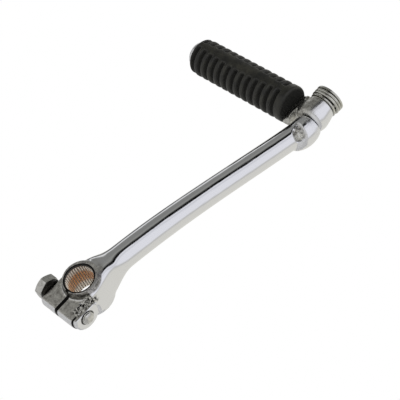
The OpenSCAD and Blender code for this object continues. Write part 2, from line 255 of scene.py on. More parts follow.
# zones of the lever, mm: each edge goes from 0 at the first value to 1 at the second, and all count together
zones = {
    "mottled": [("blotch", 0.35, 0.65)],
    "scaleCrumb": [("crumbs", 0.42, 0.56)],
    # the clamp faces were milled after plating and have gone dull
    "milled": [("facing", 0.88, 0.96), ("z", 17, 12)],
    # the bore's spline crests are painted near white as a painted highlight, the tooth roots are painted darker as
    # painted shade, and a band of brown oil lies half way in
    "inBore": [("shaftRadius", 9.3, 9.2)],
    "toothRoot": [("shaftRadius", 8.9, 9.1)],
    "oily": [("y", 5, 3), ("y", -7, -4.5), ("blotch", 0.25, 0.45)],
    # the lead-in chamfer is painted black, as painted shade
    "leadIn": [("shaftRadius", 10.15, 9.95), ("y", 8.4, 9.0)],
    # the collar's face is painted darker as painted shade and dark reflection, with real mottled stains, and its wall
    # is painted black as painted shade
    "collarZone": [("shaftRadius", 13.7, 13.0), ("y", 4.6, 5.4), ("z", 13, 9)],
    "collarWall": [("collarZone", 0, 1), ("facing", 0.93, 0.75)],
    "collarFace": [("collarZone", 0, 1), ("y", 7.5, 8.5)],
    # the rim of the round head is a little hazy under the joint face
    "headRim": [("z", 182, 183.5), ("z", 188.62, 188.58)],
    # painted shade: the clamp slit, a ring round the bolt's tip and the seam beside it are painted black
    "slitShade": [("slitSide", 1.3, 1.15), ("z", -7.5, -8.2)],
    "tipShade": [("boltRadius", 5.0, 4.5), ("x", -16.2, -16.5)],
    "seamShade": [("seamSide", 0.8, 0.45), ("z", -17.0, -18.5)],
}
# colours laid over one another: the result, what lies under, where it is covered, and by what
coats = [
    ("milledSteel", "dullDark", "mottled", "dull"),
    ("rawSteel", "rawDark", "mottled", "raw"),
    # the collar's face: real mottled stains over a grey painted darker as painted shade and dark reflection
    ("stainedShadedSteel", "collar", "mottled", "dull"),
    # the collar's wall: painted black as painted shade, with dark mottles
    ("paintedShadeSteel", "black", "mottled", "rawDark"),
    # the spline crests get a painted highlight, with the brown oil band over them
    ("splines", "crestHighlight", "oily", "oil"),
    # the tooth roots get painted shade
    ("splines", "splines", "toothRoot", "root"),
    ("brokenScale", "black", "scaleCrumb", "dull"),
    ("plate", "plate", "milled", "milledSteel"),
    ("plate", "plate", "raw", "rawSteel"),
    ("plate", "plate", "collarFace", "stainedShadedSteel"),
    ("plate", "plate", "collarWall", "paintedShadeSteel"),
    ("plate", "plate", "inBore", "splines"),
    # painted shade: the lead-in chamfer is painted black
    ("plate", "plate", "leadIn", "black"),
    # painted shade in the slit, round the bolt's tip and in the seam: painted black
    ("plate", "plate", "creaseShade", "black"),
    ("plate", "plate", "crumb", "brokenScale"),
]
chromeMaterial, tree = newMaterial("chromePlatedSteel")
coords = addNode(tree, "TexCoord", output="Object")
placeMm = addNode(tree, "VectorMath", (coords, (1 / mm, 1 / mm, 1 / mm)), operation="MULTIPLY")
stretched = addNode(tree, "Mapping", {"Vector": coords, "Scale": chrome["waveStretch"]})
# field holds every measure, pattern and zone by its name
field = {axis.lower(): addNode(tree, "SeparateXYZ", (placeMm,), axis) for axis in "XYZ"}
field["facing"] = addNode(tree, "SeparateXYZ", (addNode(tree, "NewGeometry", output="Normal"),), "Y")
for name in ("raw", "crumb"):  # these two come from the forging's mesh
    field[name] = addNode(tree, "Attribute", output="Fac", attribute_name=name)
for name, (size, detail, rough) in patterns.items():
    field[name] = addNode(tree, "TexNoise", {"Vector": stretched if name == "wave" else coords,
                                             "Scale": 1 / (size * mm), "Detail": detail, "Roughness": rough})
for name, (start, across) in distances.items():
    offset = addNode(tree, "VectorMath", (placeMm, start), operation="SUBTRACT")
    offset = addNode(tree, "VectorMath", (offset, across), operation="MULTIPLY")
    field[name] = addNode(tree, "VectorMath", (offset,), "Value", operation="LENGTH")
for name, edges in zones.items():
    for source, start, full in edges:
        edge = addNode(tree, "MapRange", (field[source], start, full))
        field[name] = addNode(tree, "Math", (field[name], edge), operation="MULTIPLY") if name in field else edge
# the painted shade of the slit, the bolt's tip and the seam, taken together; it also dulls the finish there
field["creaseShade"] = 0
for name in ("slitShade", "tipShade", "seamShade"):
    field["creaseShade"] = addNode(tree, "Math", (field["creaseShade"], field[name]), operation="MAXIMUM")
dullness = 0
for name, share in {"milled": 1, "inBore": 1, "raw": 0.8, "creaseShade": 1, "collarZone": 1, "headRim": 0.6}.items():
    dull = addNode(tree, "Math", (field[name], share), operation="MULTIPLY")
    dullness = addNode(tree, "Math", (dullness, dull), operation="MAXIMUM")
# in a Mix node 0 is the factor, 2 and 3 are numbers, and 6 and 7 are colours that come out at 2
colours = dict(chrome)
for name, under, where, over in coats:
    layers = {0: field[where], 6: colours[under], 7: colours[over]}
    colours[name] = addNode(tree, "Mix", layers, 2, data_type="RGBA")
polish = addNode(tree, "MapRange", (field["cloud"], 0.35, 0.7, *chrome["polish"]))
dullPolish = addNode(tree, "MapRange", (field["blotch"], 0.3, 0.7, *chrome["dullPolish"]))
roughness = addNode(tree, "Mix", {0: dullness, 2: polish, 3: dullPolish}, data_type="FLOAT")
# bumps over one another: pattern, depth in mm and strength
bump = addNode(tree, "Bump", {"Height": field["wave"], "Distance": 1.0 * mm, "Strength": 0.35})
grainStrength = addNode(tree, "Math", (dullness, 0.45), operation="MULTIPLY")
for name, depth, strength in (("peel", 0.3, 0.08), ("grain", 0.12, grainStrength), ("crumbs", 0.8, field["crumb"])):
    bump = addNode(tree, "Bump", {"Height": field[name], "Distance": depth * mm, "Strength": strength,
                                  "Normal": bump})
# the oil film on the splines scatters light, so they read paler than bare metal would
metallic = addNode(tree, "MapRange", (field["inBore"], 0, 1, 1, chrome["oiledMetal"]))
shader = addNode(tree, "BsdfPrincipled", {"Base Color": colours["plate"], "Metallic": metallic,
                                          "Roughness": roughness, "Normal": bump})
addNode(tree, "OutputMaterial", {"Surface": shader})

# the small steel parts; patchMm is the size of the patches in the plating
metals = {
    # zinc-plated steel, barrel-plated: satin and a little patchy
    "zincPlatedSteel": {"colour": "#d6d6d2", "patch": "#b4b3af", "rough": (0.28, 0.2), "patchMm": 3.0},
    # spring steel, painted nearly black as painted shade: takes nearly no light
    "shadeBlackSpringSteel": {"colour": "#34332f", "patch": "#171614", "rough": (0.5, 0.3), "patchMm": 0.9},
    # spring steel, drawn and plated: bright bands
    "brightSpringSteel": {"colour": "#d0d0c9", "patch": "#b3b2aa", "rough": (0.3, 0.22), "patchMm": 3.0},
    # turned steel with an oil film: dark and soft
    "oilyTurnedSteel": {"colour": "#84827c", "patch": "#4a4844", "rough": (0.45, 0.3), "patchMm": 1.8},
}
steel = {}
for name, look in metals.items():
    steel[name], tree = newMaterial(name)
    coords = addNode(tree, "TexCoord", output="Object")
    patches = addNode(tree, "TexNoise", {"Vector": coords, "Scale": 1 / (look["patchMm"] * mm), "Detail": 5,
                                         "Roughness": 0.65})
    tint = addNode(tree, "ValToRGB", (patches,), stops=[(0.35, look["patch"]), (0.62, look["colour"])])
    gloss = addNode(tree, "MapRange", (patches, 0.35, 0.65, *look["rough"]))
    bump = addNode(tree, "Bump", {"Height": patches, "Distance": 0.1 * mm, "Strength": 0.06})
    shader = addNode(tree, "BsdfPrincipled", {"Base Color": tint, "Metallic": 1, "Roughness": gloss, "Normal": bump})
    addNode(tree, "OutputMaterial", {"Surface": shader})

# moulded natural rubber, carbon black: satin, with a fine moulding grain and a faint bloom on top
rubber = {
    # groove is the colour of the painted shade in the grooves
    "colour": "#141410", "bloom": "#38372d", "groove": "#11110d", "bloomMm": 6.25, "grainMm": 0.5,
    "rough": (0.33, 0.46), "grooveRough": 0.95, "axis": (0, -53.7, 193.8), "ribFrom": (11.3, 13.1),
}
rubberMaterial, tree = newMaterial("mouldedBlackRubber")
coords = addNode(tree, "TexCoord", output="Object")
bloom = addNode(tree, "TexNoise", {"Vector": coords, "Scale": 1 / (rubber["bloomMm"] * mm), "Detail": 6,
                                   "Roughness": 0.6})
skin = addNode(tree, "TexNoise", {"Vector": coords, "Scale": 1 / (rubber["grainMm"] * mm), "Detail": 3})
tint = addNode(tree, "ValToRGB", (bloom,), stops=[(0.4, rubber["colour"]), (0.75, rubber["bloom"])])
gloss = addNode(tree, "MapRange", (bloom, 0.3, 0.7, *rubber["rough"]))
bump = addNode(tree, "Bump", {"Height": skin, "Distance": 0.08 * mm, "Strength": 0.15})
# the grooves are painted dark as painted shade and made rougher, so only the ribs catch the light
placeMm = addNode(tree, "VectorMath", (coords, (1 / mm, 1 / mm, 1 / mm)), operation="MULTIPLY")
offset = addNode(tree, "VectorMath", (placeMm, rubber["axis"]), operation="SUBTRACT")
offset = addNode(tree, "VectorMath", (offset, (0, 1, 1)), operation="MULTIPLY")
sleeveRadius = addNode(tree, "VectorMath", (offset,), "Value", operation="LENGTH")
rib = addNode(tree, "MapRange", (sleeveRadius, *rubber["ribFrom"]))
tint = addNode(tree, "Mix", {0: rib, 6: rubber["groove"], 7: tint}, 2, data_type="RGBA")
gloss = addNode(tree, "Mix", {0: rib, 2: rubber["grooveRough"], 3: gloss}, data_type="FLOAT")
shader = addNode(tree, "BsdfPrincipled", {"Base Color": tint, "Roughness": gloss, "Normal": bump})
addNode(tree, "OutputMaterial", {"Surface": shader})
print("materials made")

# the forging, mm: boss, lugs, swept arm and round head become one skin, then are machined
arm = {
    "joint": 188.5, "reach": 53.7, "overshoot": 3.9, "rootLean": 0.133, "tipLean": 0.31, "bossMiddle": -1,
    "lowRadius": 8.3, "topRadius": 8.0, "rootTop": 27, "rootLow": -4, "noseWidth": 15, "headWidth": 13,
    "rootThick": 10.85, "noseSquare": 6, "headSquare": 3, "underFace": 0.15, "intoHead": 9, "slimBy": 113.1,
    "thickBlend": (10.8, 31.05), "faceBlend": (8.1, 23.49), "roundBy": 29.7, "trueFrom": (30, 42),
    "trueTo": (150, 162), "voxel": 0.5, "soften": 14,
}
boss = {"inner": 10, "outer": -12.8, "collar": 11.8, "back": 14.5, "rise": 1, "bore": 8.6, "teeth": 36,
        "toothDepth": 0.55, "leadIn": 1.4, "edge": 0.8}
lug = {"half": 13.75, "radius": 9.6, "flat": 5, "boltY": 0.4, "boltZ": -13.5, "noseEnd": -16.75, "nose": 8.7,
       "slit": 2.2, "tapped": 4.0, "clear": 4.2, "square": 8}
head = {
    "x": -2.6, "y": -54.5,
    "profile": [(0, 0), (0, 8), (-0.7, 8.7), (-2, 9), (-4, 9.6), (-6.2, 9.8), (-8.6, 9.9), (-11.4, 9.6),
                (-14.4, 8.8), (-17.2, 7.6), (-19.8, 5.9), (-22, 3.1), (-23, 0)],
}
# where the pivot pin sits in the head
seat = {"radius": 5, "deep": 18, "lead": 0.6, "below": 0.3}
# the rough pocket is lens-shaped: its top slopes, its foot is a bow that is lowest at 125 degrees;
# each side of the bow is (degrees wide, mm high)
pocket = {
    "from": 66, "to": 158, "above": 165, "top": (181.8, 176.4), "low": 169.8, "lowest": 125,
    "bowBefore": (40, 3.6), "bowAfter": (31, 5.2), "ends": (0.3, 0.75), "lowEdge": (-1, 2),
    "topEdge": (-1.8, 0.4), "deep": 1.5, "leastDeep": 0.1, "bumps": ((0.4, 0.9), (0.8, 0.3)),
}
# crumbled scale between the flat of the lug and the flank, left by the forging die
scale = {
    "x": -12.6, "y": 4.4, "sideX": (2.2, 3.8), "sideY": (1.6, 3.2), "low": (-19, -16), "high": (-3, 0),
    "out": (-0.6, 0.8, 0), "sunk": 0.2, "bumps": ((0.7, 0.7), (1.5, 0.35)),
}
alongShaft, up, forward = (0, 1, 0), (0, 0, 1), (1, 0, 0)


def centreY(z):
    t = z / arm["joint"]
    root, tip = -arm["rootLean"] * arm["joint"], -arm["tipLean"] * arm["joint"]
    return (mix(arm["bossMiddle"], -arm["reach"] - arm["overshoot"], t * t * (3 - 2 * t))
            + root * t * (1 - t) ** 2 + tip * t * t * (t - 1))


def barRadius(z):
    return mix(arm["lowRadius"], arm["topRadius"], ease(z, arm["rootTop"], arm["slimBy"]))


def armPoint(level, angle):
    z = mix(arm["rootLow"], arm["joint"] - arm["intoHead"], level)
    wide, square = (arm["noseWidth"], arm["noseSquare"]) if cos(angle) < 0 else (arm["headWidth"], arm["headSquare"])
    halfX = mix(wide, barRadius(z), ease(z, arm["rootLow"], arm["rootTop"]))
    halfY = mix(arm["rootThick"], barRadius(z), ease(z, *arm["thickBlend"]))
    if sin(angle) > 0:  # the engine side starts just under the face of the boss
        halfY = mix(boss["inner"] - arm["underFace"] - centreY(z), halfY, ease(z, *arm["faceBlend"]))
    power = mix(square, 2, ease(z, 0, arm["roundBy"]))
    return Vector((halfX * bulge(cos(angle), power), centreY(z) + halfY * bulge(sin(angle), power), z))


def nosePoint(level, angle):
    return Vector((mix(lug["noseEnd"], -lug["half"] + 2, level),
                   min(lug["boltY"] + lug["nose"] * cos(angle), lug["flat"]),
                   lug["boltZ"] + lug["nose"] * sin(angle)))


def lugPoint(level, angle):
    # round below, straight walls above and cut flat on the engine side
    y, z = lug["radius"] * cos(angle), lug["radius"] * sin(angle)
    if sin(angle) > 0:
        y = lug["radius"] * bulge(cos(angle), lug["square"])
        z = -lug["boltZ"] * bulge(sin(angle), lug["square"])
    return Vector((mix(-lug["half"], lug["half"], level), min(lug["boltY"] + y, lug["flat"]), lug["boltZ"] + z))


bm = bmesh.new()
addTube(bm, 120, 96, armPoint)
addTurned(bm, [(boss["inner"], 0), (boss["inner"], boss["collar"] - 0.5), (boss["inner"] - 0.5, boss["collar"]),
               (boss["outer"] + boss["edge"], boss["back"]), (boss["outer"], boss["back"] - boss["edge"]),
               (boss["outer"], 0)], (0, 0, boss["rise"]), alongShaft)
addTurned(bm, head["profile"], (head["x"], head["y"], arm["joint"]), up)
addTube(bm, 2, 96, nosePoint)
addTube(bm, 2, 96, lugPoint)
armPiece = forge(newObject("leverForging", bm), arm["voxel"], arm["soften"])
print("arm skin", len(armPiece.data.polygons))


def pocketShare(co):
    # how fully a point lies in the pocket, and the way out of it
    angle = degrees(atan2(co.y - head["y"], co.x - head["x"]))
    t = (angle - pocket["from"]) / (pocket["to"] - pocket["from"])
    if co.z <= pocket["above"] or not 0 < t < 1:
        return 0, None
    wide, high = pocket["bowBefore"] if angle < pocket["lowest"] else pocket["bowAfter"]
    low = pocket["low"] + high * ((angle - pocket["lowest"]) / wide) ** 2
    top = mix(*pocket["top"], t)
    share = (ease(t, 0, pocket["ends"][0]) * (1 - ease(t, pocket["ends"][1], 1))
             * ease(co.z - low, *pocket["lowEdge"]) * (1 - ease(co.z - top, *pocket["topEdge"])))
    return share, Vector((cos(radians(angle)), sin(radians(angle)), 0))


rawShare = [0.0] * len(armPiece.data.vertices)
crumbShare = rawShare[:]
for vert in armPiece.data.vertices:
    co = vert.co
    # the long bar is trued to its exact section
    keep = ease(co.z, *arm["trueFrom"]) * (1 - ease(co.z, *arm["trueTo"]))
    if keep > 0:
        offset = Vector((co.x, co.y - centreY(co.z)))
        true = offset.normalized() * barRadius(co.z)
        co.x = mix(co.x, true.x, keep)
        co.y = mix(co.y, centreY(co.z) + true.y, keep)
    share, out = pocketShare(co)
    if out:
        vert.co = co - out * share * max(pocket["leastDeep"], pocket["deep"] + bumpy(co, pocket["bumps"]))
        rawShare[vert.index] = share
    share = ((1 - ease(abs(co.x - scale["x"]), *scale["sideX"])) * (1 - ease(abs(co.y - scale["y"]), *scale["sideY"]))
             * ease(co.z, *scale["low"]) * (1 - ease(co.z, *scale["high"])))
    if share > 0:
        vert.co = co + Vector(scale["out"]) * (bumpy(co, scale["bumps"]) - scale["sunk"]) * share
        crumbShare[vert.index] = share
armPiece.data.attributes.new("raw", "FLOAT", "POINT").data.foreach_set("value", rawShare)
armPiece.data.attributes.new("crumb", "FLOAT", "POINT").data.foreach_set("value", crumbShare)


def borePoint(level, angle):
    tooth = abs((angle / (2 * pi) * boss["teeth"]) % 1 - 0.5) * 2
    radius = boss["bore"] + boss["toothDepth"] * min(1.0, tooth * 1.25)
    return Vector((radius * cos(angle), mix(boss["outer"] - 1, boss["inner"] + 1, level), radius * sin(angle)))


# serrated bore with a lead-in at both ends, slit, bolt holes and the pin's seat in the joint face
bm = bmesh.new()
addTube(bm, 2, boss["teeth"] * 8, borePoint)
machine(armPiece, bm)
edge, past = boss["edge"], 0.6
turnAway(armPiece, [[(end - way * edge, 0), (end - way * edge, boss["bore"]),
                     (end + way * past, boss["bore"] + boss["leadIn"]), (end + way * past, 0)]
                    for end, way in ((boss["inner"], 1), (boss["outer"], -1))], (0, 0, 0), alongShaft)
bm = bmesh.new()
addBlock(bm, (lug["slit"], 60, 40), (0, 0, -20))
machine(armPiece, bm)
through = 30
turnAway(armPiece, [[(-through, 0), (-through, lug["tapped"]), (0, lug["tapped"]), (0, lug["clear"]),
                     (through, lug["clear"]), (through, 0)]], (0, lug["boltY"], lug["boltZ"]), forward)
seatMouth = seat["radius"] + seat["lead"]
turnAway(armPiece, [[(-seat["deep"], 0), (-seat["deep"], seat["radius"]), (0, seat["radius"]),
                     (seat["lead"], seatMouth), (1.5, seatMouth), (1.5, 0)]],
         (0, -arm["reach"], arm["joint"] - seat["below"]), up)
finishPiece(armPiece, chromeMaterial, "lever", "lever_arm", 40)

# pedal lever, mm: knuckle, flat neck, bar and upset head; the neck is as forged on the side that shows
pedal = {
    "low": 188.7, "barZ": 193.8, "neckHalf": 4.2, "neckOffset": -5.3, "neckLow": 182.2, "neckHigh": 206.4,
    "webLow": 189.2, "webHigh": 202.3, "neckRoot": 1.5, "neckClear": 11.7, "flare": 2, "flareFrom": 6,
    "start": 17.5, "end": 104.5, "bar": 6, "recess": 0.92, "tang": 1.7, "tangOffset": -3.4, "pinHole": 5.05,
    "rawFrom": (-7, -0.5), "dentsFrom": (11.4, 12.6), "dents": ((0.3, 0.3), (0.9, 0.12)), "webEdge": (-1.3, 0.5),
    "voxel": 0.35, "soften": 10,
    "knuckle": [(0, 0), (0, 9.5), (0.7, 10.2), (2.1, 10.8), (4.6, 11.3), (7, 11.2), (9.7, 10.7), (12.2, 10.1),
                (14.2, 9.7), (14.85, 9.3), (15.2, 8.7), (15.2, 0)],
    "upset": [(0, 6), (0, 8.2), (0.3, 8.75), (0.9, 9), (2.6, 9), (3.4, 8.75), (4.1, 8.1), (4.7, 6.6), (5, 4.4),
              (5, 0)],
}
stop = {"radius": 7.6, "angle": 220, "swing": 90, "spare": 0.4, "half": 1.4, "deep": 2.15, "pin": 1.25,
        "bevel": 0.25, "seat": 6, "high": 2}
pivot = (0, -arm["reach"], pedal["low"])


def neckPoint(level, angle):
    r = pedal["neckHalf"]
    x = mix(pedal["neckRoot"], pedal["start"] + 1.5, level)
    deeper = ease(x - pedal["neckClear"], *pedal["webEdge"])
    low = mix(pedal["webLow"], pedal["neckLow"], deeper)
    high = mix(pedal["webHigh"], pedal["neckHigh"], deeper)
    z = (high - r if sin(angle) > 0 else low + r) + r * sin(angle)
    y = r * cos(angle)
    if y > 0:  # flares into the knuckle
        y *= 1 + pedal["flare"] * (1 - ease(x, pedal["flareFrom"], pedal["start"] + 2))
    return Vector((x, -arm["reach"] + pedal["neckOffset"] + y, z))


bm = bmesh.new()
addTurned(bm, pedal["knuckle"], pivot, up)
addTube(bm, 40, 48, neckPoint)
pedalPiece = forge(newObject("pedalForging", bm), pedal["voxel"], pedal["soften"])
rawShare = []
for vert in pedalPiece.data.vertices:
    co = vert.co
    rawShare.append(ease(co.x, *pedal["rawFrom"]))
    # dents and scale outside the turned knuckle, on the side that shows
    if co.y > -arm["reach"] + pedal["neckOffset"]:
        co.y += bumpy(co, pedal["dents"]) * ease(hypot(co.x, co.y + arm["reach"]), *pedal["dentsFrom"])
pedalPiece.data.attributes.new("raw", "FLOAT", "POINT").data.foreach_set("value", rawShare)
turnAway(pedalPiece, [[(-2, 0), (-2, pedal["pinHole"]), (20, pedal["pinHole"]), (20, 0)]], pivot, up)
# the groove in the underside that the stop pin runs in
bm = bmesh.new()
slack = degrees(asin(stop["half"] / stop["radius"])) + stop["spare"]
corners = [bm.verts.new((stop["radius"] + out, 0, z)) for out, z in
           ((-stop["half"], -1), (stop["half"], -1), (stop["half"], stop["deep"]), (-stop["half"], stop["deep"]))]
bmesh.ops.contextual_create(bm, geom=corners)
bmesh.ops.spin(bm, geom=list(bm.verts) + list(bm.edges) + list(bm.faces), cent=(0, 0, 0), axis=up,
               angle=radians(stop["swing"] + 2 * slack), steps=48, use_merge=False)
bmesh.ops.rotate(bm, cent=(0, 0, 0), matrix=Matrix.Rotation(radians(stop["angle"] - slack), 3, "Z"), verts=bm.verts)
bmesh.ops.translate(bm, vec=pivot, verts=bm.verts)
machine(pedalPiece, bm)
# the neck is cut off square where the rubber starts
bm = bmesh.new()
addBlock(bm, (20, 20, 20), (pedal["start"] + 9.98, -arm["reach"], pedal["barZ"]))
machine(pedalPiece, bm)
# the bar stands a little inside the rubber's end, and a short tang ties it to the neck
bm = bmesh.new()
bm.from_mesh(pedalPiece.data)
addTurned(bm, [(pedal["start"] - 3, 0), (pedal["start"] - 3, pedal["tang"]), (pedal["start"] + 2, pedal["tang"]),
               (pedal["start"] + 2, 0)], (0, -arm["reach"] + pedal["tangOffset"], pedal["barZ"]), forward)
addTurned(bm, [(pedal["start"] + pedal["recess"], 0), (pedal["start"] + pedal["recess"], pedal["bar"])]
          + [(pedal["end"] + along, radius) for along, radius in pedal["upset"]],
          (0, -arm["reach"], pedal["barZ"]), forward)
bm.to_mesh(pedalPiece.data)
bm.free()
finishPiece(pedalPiece, chromeMaterial, "pedal", "pedal_lever", 40)

# rubber sleeve, mm: two panels of grooves and two plain lens-shaped bands
sleeve = {
    "start": 17.5, "length": 87, "radius": 13.25, "bore": 6, "grooves": 13, "pitch": 6.25, "first": 8.5,
    "width": 4.6, "deep": 2.2, "wallEdge": (0.2, 1.1), "bandAngle": 8, "bandEnd": 10, "bandMiddle": 21,
    "bandEdge": (-3, 5), "web": 0.9, "rings": 190, "straightFrom": 2.6, "grooved": 12.5,
    "rounding": [(0, 10.4), (0.15, 11.2), (0.6, 12.1), (1.3, 12.85), (2.2, 13.2)],
}
bm = bmesh.new()
outline = [(0, 0)] + sleeve["rounding"]
first, last = sleeve["straightFrom"], sleeve["length"] - sleeve["straightFrom"]
outline += [(mix(first, last, i / sleeve["rings"]), sleeve["radius"]) for i in range(sleeve["rings"] + 1)]
outline += [(sleeve["length"] - along, radius) for along, radius in reversed(sleeve["rounding"])]
outline += [(sleeve["length"], sleeve["bore"]), (sleeve["web"], sleeve["bore"]), (sleeve["web"], 0)]
addTurned(bm, outline, (0, 0, 0), up, 200)


def grooveDepth(x, angle):
    index = round((x - sleeve["first"]) / sleeve["pitch"])
    index = max(0, min(sleeve["grooves"] - 1, index))
    away = abs(x - sleeve["first"] - index * sleeve["pitch"]) / (sleeve["width"] / 2)
    half = sleeve["bandEnd"] + (sleeve["bandMiddle"] - sleeve["bandEnd"]) * sin(pi * index / (sleeve["grooves"] - 1))
    side = abs((angle - sleeve["bandAngle"] + 90) % 180 - 90)
    return sleeve["deep"] * (1 - ease(away, *sleeve["wallEdge"])) * ease(side - half, *sleeve["bandEdge"])


for vert in bm.verts:
    radius = hypot(vert.co.x, vert.co.y)
    if radius > sleeve["grooved"]:
        inward = 1 - grooveDepth(vert.co.z, degrees(atan2(vert.co.y, vert.co.x))) / radius
        vert.co.x *= inward
        vert.co.y *= inward
# the sleeve's own axis becomes +X of the lever, its angle zero faces the engine
sleeveTurn = Matrix(((0, 0, 1, sleeve["start"]), (1, 0, 0, -arm["reach"]), (0, 1, 0, pedal["barZ"]), (0, 0, 0, 1)))
bmesh.ops.transform(bm, matrix=sleeveTurn, verts=bm.verts)
finishPiece(newObject("pedalSleeve", bm), rubberMaterial, "pedal", "pedal_rubber", 60)

# clamp bolt, mm
bolt = {
    "across": 14, "head": 5.6, "bevel": 0.25, "headX": 16.35, "tipX": -19.15, "threadX": -15, "shank": 3.98,
    "core": 3.4, "tip": [(0, 0), (0, 2.4), (0.25, 2.9), (0.5, 3.35)], "pitch": 1.25, "turns": 2.2, "steps": 64,
    "ridge": [(0, 3.3), (0.42, 3.98), (0.72, 3.98), (1.14, 3.3)],
    "washerSide": [(-1, 0), (-1, 8.2), (0.3, 8.2), (0.5, 8.4)], "crown": [(-1.1, 8.5), (0, 6.7), (1, 6.7), (1, 0)],
}
base = (0, lug["boltY"], lug["boltZ"])
bm = bmesh.new()
corner = bolt["across"] / sqrt(3)
bmesh.ops.create_cone(bm, cap_ends=True, segments=6, radius1=corner, radius2=corner, depth=bolt["head"],
                      matrix=Matrix.Translation((bolt["headX"] + bolt["head"] / 2, base[1], base[2]))
                      @ Matrix.Rotation(pi / 2, 4, "Y"))
bmesh.ops.bevel(bm, geom=list(bm.edges), offset=bolt["bevel"], segments=2, profile=0.5, affect="EDGES", material=-1)
boltPiece = newObject("clampBolt", bm)
# the head's corners are turned off, towards the end and towards the washer
near, far = bolt["headX"], bolt["headX"] + bolt["head"]
bm = bmesh.new()
addTurned(bm, [(near + along, radius) for along, radius in bolt["washerSide"]]
          + [(far + along, radius) for along, radius in bolt["crown"]], base, forward)
machine(boltPiece, bm, "INTERSECT")
bm = bmesh.new()
bm.from_mesh(boltPiece.data)
addTurned(bm, [(bolt["tipX"] + along, radius) for along, radius in bolt["tip"]]
          + [(bolt["threadX"], bolt["core"]), (bolt["threadX"], bolt["shank"]), (near + 0.5, bolt["shank"]),
             (near + 0.5, 0)], base, forward, bolt["steps"])
# the thread that stands out of the lug
ridge = [bm.verts.new(Vector(base) + Vector((bolt["threadX"] - along, radius, 0)))
         for along, radius in bolt["ridge"]]
edges = [bm.edges.new(pair) for pair in zip(ridge, ridge[1:] + ridge[:1])]
bmesh.ops.spin(bm, geom=ridge + edges, cent=base, axis=(-1, 0, 0), angle=2 * pi * bolt["turns"],
               steps=int(bolt["steps"] * bolt["turns"]), dvec=(-bolt["pitch"] / bolt["steps"], 0, 0),
               use_merge=False)
bm.to_mesh(boltPiece.data)
bm.free()
finishPiece(boltPiece, steel["zincPlatedSteel"], "lever", "pinch_bolt")

# split lock washer, mm
lockWasher = {"near": 0.05, "far": 2.55, "hole": 4.15, "outer": 7.1, "corner": [(0, 0.3), (0.25, 0)],
              "splitTurn": -35, "split": 0.8}
bm = bmesh.new()
addRing(bm, lockWasher["near"], lockWasher["far"], lockWasher["hole"], lockWasher["outer"], lockWasher["corner"],
        (lug["half"], base[1], base[2]), forward)
washerPiece = newObject("lockWasher", bm)
bm = bmesh.new()
addBlock(bm, (6, lockWasher["split"], 8), (0, 0, 5))
bmesh.ops.rotate(bm, cent=(0, 0, 0), matrix=Matrix.Rotation(radians(lockWasher["splitTurn"]), 3, "X"), verts=bm.verts)
middle = (lockWasher["near"] + lockWasher["far"]) / 2
bmesh.ops.translate(bm, vec=(lug["half"] + middle, base[1], base[2]), verts=bm.verts)
machine(washerPiece, bm)
# the lock washer is painted nearly black, as painted shade under the bolt's head
finishPiece(washerPiece, steel["shadeBlackSpringSteel"], "lever", "lock_washer")

# joint stack, mm above the knuckle: washer, spring, washer, ring and the pin through them
stack = {
    "washerLow": 204.1, "washerThick": 1.2, "washer": 10, "hole": 5.15, "springLow": 205.3, "springHigh": 5.5,
    "spring": 10.6, "wire": 1.0, "ground": 0.35, "turns": 2, "startAngle": 255, "topWasher": 10.6,
    "topThick": 1.5, "washerCorner": [(0, 0.3), (0.12, 0.08), (0.35, 0)], "ring": 6.65, "ringGroove": 4.55,
    "ringThick": 1, "ringGap": 3.4, "ringCorner": [(0, 0.15), (0.15, 0)], "pin": 5, "pinTip": 1.4,
    "pinFoot": [(0, 0), (0, 4.5), (0.5, 5)], "pinTop": [(-0.7, 5), (-0.3, 4.8), (0, 4.3), (0, 0)],
}
topLow = stack["springLow"] + stack["springHigh"]
ringLow = topLow + stack["topThick"]
brightSteel = steel["brightSpringSteel"]
for name, low, thick, radius, node in (
        ("lowerWasher", stack["washerLow"], stack["washerThick"], stack["washer"], "lower_washer"),
        ("upperWasher", topLow, stack["topThick"], stack["topWasher"], "upper_washer")):
    bm = bmesh.new()
    addRing(bm, 0, thick, stack["hole"], radius, stack["washerCorner"], (0, -arm["reach"], low), up)
    finishPiece(newObject(name, bm), brightSteel, "lever", node)

# the spring's ends are ground flat against the washers
bm = bmesh.new()
low = stack["wire"] - stack["ground"]
high = stack["springHigh"] - low
wire = bmesh.ops.create_circle(bm, segments=20, radius=stack["wire"],
                               matrix=Matrix.Translation((stack["spring"] - stack["wire"], 0, low))
                               @ Matrix.Rotation(pi / 2, 4, "X"))["verts"]
bmesh.ops.contextual_create(bm, geom=wire)
steps = int(96 * stack["turns"])
bmesh.ops.spin(bm, geom=list(bm.verts) + list(bm.edges) + list(bm.faces), cent=(0, 0, 0), axis=up,
               angle=2 * pi * stack["turns"], steps=steps, dvec=(0, 0, (high - low) / steps), use_merge=False)
bmesh.ops.rotate(bm, cent=(0, 0, 0), matrix=Matrix.Rotation(radians(stack["startAngle"]), 3, "Z"), verts=bm.verts)
for vert in bm.verts:
    vert.co.z = max(0.0, min(stack["springHigh"], vert.co.z))
bmesh.ops.translate(bm, vec=(0, -arm["reach"], stack["springLow"]), verts=bm.verts)
bmesh.ops.recalc_face_normals(bm, faces=bm.faces)
finishPiece(newObject("jointSpring", bm), brightSteel, "lever", "joint_spring", 50)

bm = bmesh.new()
addRing(bm, 0, stack["ringThick"], stack["ringGroove"], stack["ring"], stack["ringCorner"],
        (0, -arm["reach"], ringLow), up)
ringPiece = newObject("retainingRing", bm)
bm = bmesh.new()
addBlock(bm, (6, stack["ringGap"], 4), (5, -arm["reach"], ringLow))
machine(ringPiece, bm)
finishPiece(ringPiece, brightSteel, "lever", "retaining_ring")

